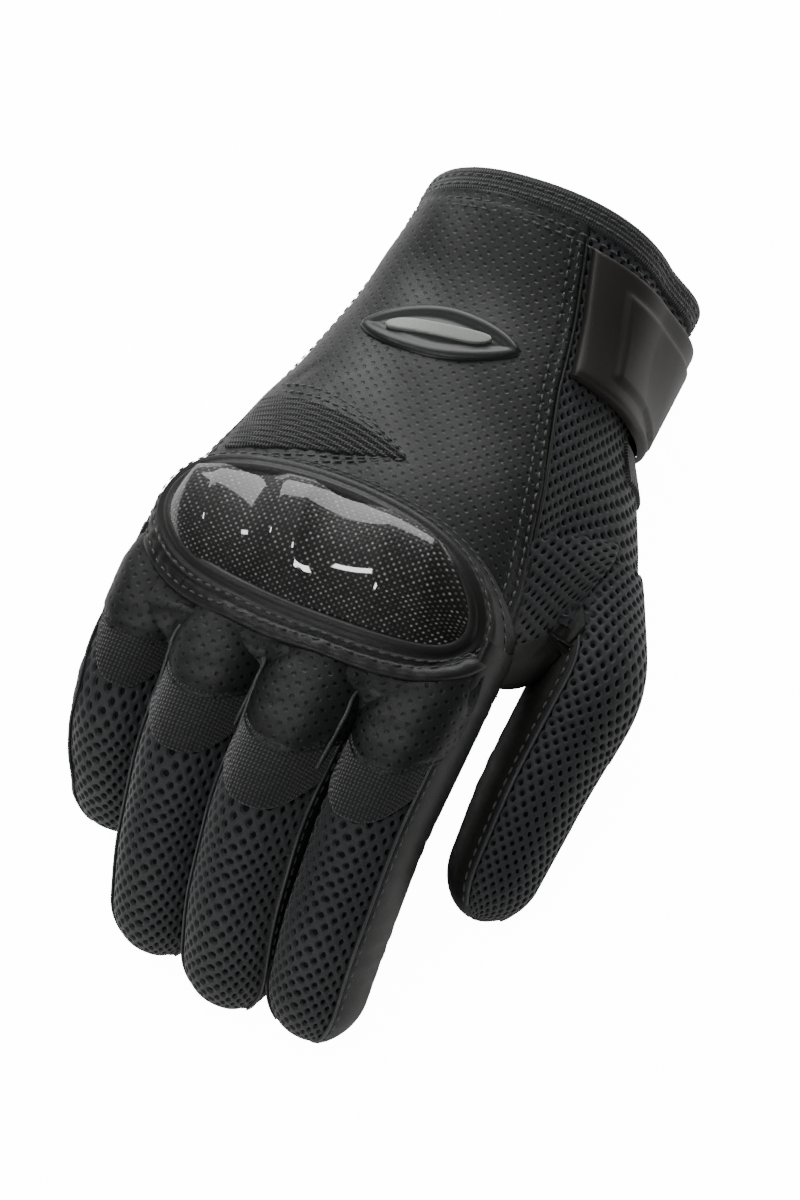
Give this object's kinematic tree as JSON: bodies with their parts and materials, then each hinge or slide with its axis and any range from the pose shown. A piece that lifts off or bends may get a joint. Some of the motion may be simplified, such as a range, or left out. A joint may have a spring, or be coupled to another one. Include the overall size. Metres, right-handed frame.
{
  "type": "riding glove",
  "caption": "Short-cuff right-hand riding glove with a hard knuckle shell, perforated back, mesh fingers and a wrist strap; every finger segment bends.",
  "frame": {"origin": "centre of the wrist opening, in the plane of the cuff's edge", "axes": "-Y towards the fingertips, +X towards the thumb, +Z out of the back of the hand; lying palm down"},
  "size_m": [0.1239, 0.2093, 0.0729],
  "materials": {
    "goatskin_back": "satin perforated goatskin",
    "goatskin_palm": "satin smooth goatskin",
    "air_mesh": "open spacer mesh",
    "ribbed_knit": "ribbed stretch knit",
    "moulded_rubber": "satin moulded rubber",
    "carbon_shell": "clear coated carbon twill",
    "padding_foam": "closed cell padding in cloth",
    "welt_leather": "folded leather with stitch rows",
    "cuff_tape": "woven binding tape",
    "reflective_film": "grey reflective film",
    "lining_tricot": "brushed tricot",
    "suede_overlay": "matte suede"
  },
  "bodies": {
    "hand": {"back_leather": "goatskin_back", "cuff_binding": "cuff_tape", "emblem_patch": "moulded_rubber", "heel_pad": "suede_overlay", "knuckle_guard": "carbon_shell", "knuckle_padding": "padding_foam", "knuckle_welt": "welt_leather", "lining": "lining_tricot", "palm_leather": "goatskin_palm", "palm_overlay": "suede_overlay", "pinky_side_leather": "goatskin_back", "reflective_bar": "reflective_film", "strap_anchor": "moulded_rubber", "stretch_inset": "ribbed_knit", "thumb_root_mesh": "air_mesh", "thumb_root_palm": "goatskin_palm", "thumb_side_mesh": "air_mesh"},
    "index_proximal": {"index_knuckle_pad": "goatskin_back", "index_proximal_back": "air_mesh", "index_proximal_palm": "goatskin_palm"},
    "index_middle": {"index_middle_back": "air_mesh", "index_middle_palm": "goatskin_palm"},
    "index_distal": {"index_distal_back": "air_mesh", "index_distal_palm": "goatskin_palm"},
    "middle_proximal": {"middle_knuckle_pad": "goatskin_back", "middle_proximal_back": "air_mesh", "middle_proximal_palm": "goatskin_palm"},
    "middle_middle": {"middle_middle_back": "air_mesh", "middle_middle_palm": "goatskin_palm"},
    "middle_distal": {"middle_distal_back": "air_mesh", "middle_distal_palm": "goatskin_palm"},
    "ring_proximal": {"ring_knuckle_pad": "goatskin_back", "ring_proximal_back": "air_mesh", "ring_proximal_palm": "goatskin_palm"},
    "ring_middle": {"ring_middle_back": "air_mesh", "ring_middle_palm": "goatskin_palm"},
    "ring_distal": {"ring_distal_back": "air_mesh", "ring_distal_palm": "goatskin_palm"},
    "pinky_proximal": {"pinky_knuckle_pad": "goatskin_back", "pinky_proximal_back": "air_mesh", "pinky_proximal_palm": "goatskin_palm"},
    "pinky_middle": {"pinky_middle_back": "air_mesh", "pinky_middle_palm": "goatskin_palm"},
    "pinky_distal": {"pinky_distal_back": "air_mesh", "pinky_distal_palm": "goatskin_palm"},
    "thumb_proximal": {"thumb_proximal_back": "air_mesh", "thumb_proximal_palm": "goatskin_palm"},
    "thumb_distal": {"thumb_distal_back": "air_mesh", "thumb_distal_palm": "goatskin_palm"},
    "strap": {"strap_flap": "moulded_rubber", "strap_pull_tab": "moulded_rubber"}
  },
  "joints": [
    {"name": "index_knuckle", "type": "hinge", "parent": "hand", "child": "index_proximal", "pos_m": [0.037, -0.129, 0.0161], "axis": [0.9986, -0.0523, 0], "range_deg": [-12, 45], "stiffness_Nm_per_rad": 0.3},
    {"name": "index_mid", "type": "hinge", "parent": "index_proximal", "child": "index_middle", "pos_m": [0.03517, -0.16382, 0.00564], "axis": [0.9986, -0.0523, 0], "range_deg": [-20, 45], "stiffness_Nm_per_rad": 0.22},
    {"name": "index_end", "type": "hinge", "parent": "index_middle", "child": "index_distal", "pos_m": [0.03402, -0.18589, -0.00861], "axis": [0.9986, -0.0523, 0], "range_deg": [-12, 27], "stiffness_Nm_per_rad": 0.16},
    {"name": "middle_knuckle", "type": "hinge", "parent": "hand", "child": "middle_proximal", "pos_m": [0.0128, -0.1346, 0.0188], "axis": [0.9994, -0.0349, 0], "range_deg": [-12, 45], "stiffness_Nm_per_rad": 0.3},
    {"name": "middle_mid", "type": "hinge", "parent": "middle_proximal", "child": "middle_middle", "pos_m": [0.01157, -0.16985, 0.0102], "axis": [0.9994, -0.0349, 0], "range_deg": [-20, 45], "stiffness_Nm_per_rad": 0.22},
    {"name": "middle_end", "type": "hinge", "parent": "middle_middle", "child": "middle_distal", "pos_m": [0.0109, -0.189, -0.00736], "axis": [0.9994, -0.0349, 0], "range_deg": [-12, 27], "stiffness_Nm_per_rad": 0.16},
    {"name": "ring_knuckle", "type": "hinge", "parent": "hand", "child": "ring_proximal", "pos_m": [-0.0118, -0.1312, 0.0186], "axis": [1, 0, 0], "range_deg": [-12, 45], "stiffness_Nm_per_rad": 0.3},
    {"name": "ring_mid", "type": "hinge", "parent": "ring_proximal", "child": "ring_middle", "pos_m": [-0.0118, -0.16407, 0.00917], "axis": [1, 0, 0], "range_deg": [-20, 45], "stiffness_Nm_per_rad": 0.22},
    {"name": "ring_end", "type": "hinge", "parent": "ring_middle", "child": "ring_distal", "pos_m": [-0.0118, -0.18287, -0.00835], "axis": [1, 0, 0], "range_deg": [-12, 27], "stiffness_Nm_per_rad": 0.16},
    {"name": "pinky_knuckle", "type": "hinge", "parent": "hand", "child": "pinky_proximal", "pos_m": [-0.0353, -0.1285, 0.0125], "axis": [0.9995, -0.0314, 0], "range_deg": [-12, 45], "stiffness_Nm_per_rad": 0.14},
    {"name": "pinky_mid", "type": "hinge", "parent": "pinky_proximal", "child": "pinky_middle", "pos_m": [-0.03606, -0.15277, 0.00577], "axis": [0.9995, -0.0314, 0], "range_deg": [-20, 45], "stiffness_Nm_per_rad": 0.07},
    {"name": "pinky_end", "type": "hinge", "parent": "pinky_middle", "child": "pinky_distal", "pos_m": [-0.03636, -0.16231, -0.0095], "axis": [0.9995, -0.0314, 0], "range_deg": [-12, 27], "stiffness_Nm_per_rad": 0.05},
    {"name": "thumb_knuckle", "type": "hinge", "parent": "hand", "child": "thumb_proximal", "pos_m": [0.0622, -0.1033, -0.0097], "axis": [0.9986, -0.0523, 0], "range_deg": [-10, 20], "stiffness_Nm_per_rad": 0.3},
    {"name": "thumb_mid", "type": "hinge", "parent": "thumb_proximal", "child": "thumb_distal", "pos_m": [0.06064, -0.133, -0.01367], "axis": [0.9986, -0.0523, 0], "range_deg": [-10, 35], "stiffness_Nm_per_rad": 0.22},
    {"name": "strap_open", "type": "hinge", "parent": "hand", "child": "strap", "pos_m": [0.0454, -0.0265, -0.008], "axis": [0, -1, 0], "range_deg": [0, 110], "stiffness_Nm_per_rad": 0.05}
  ],
  "couplings": [
    {"joint": "index_end", "follows": "index_mid", "ratio": 0.6},
    {"joint": "middle_end", "follows": "middle_mid", "ratio": 0.6},
    {"joint": "ring_end", "follows": "ring_mid", "ratio": 0.6}
  ]
}
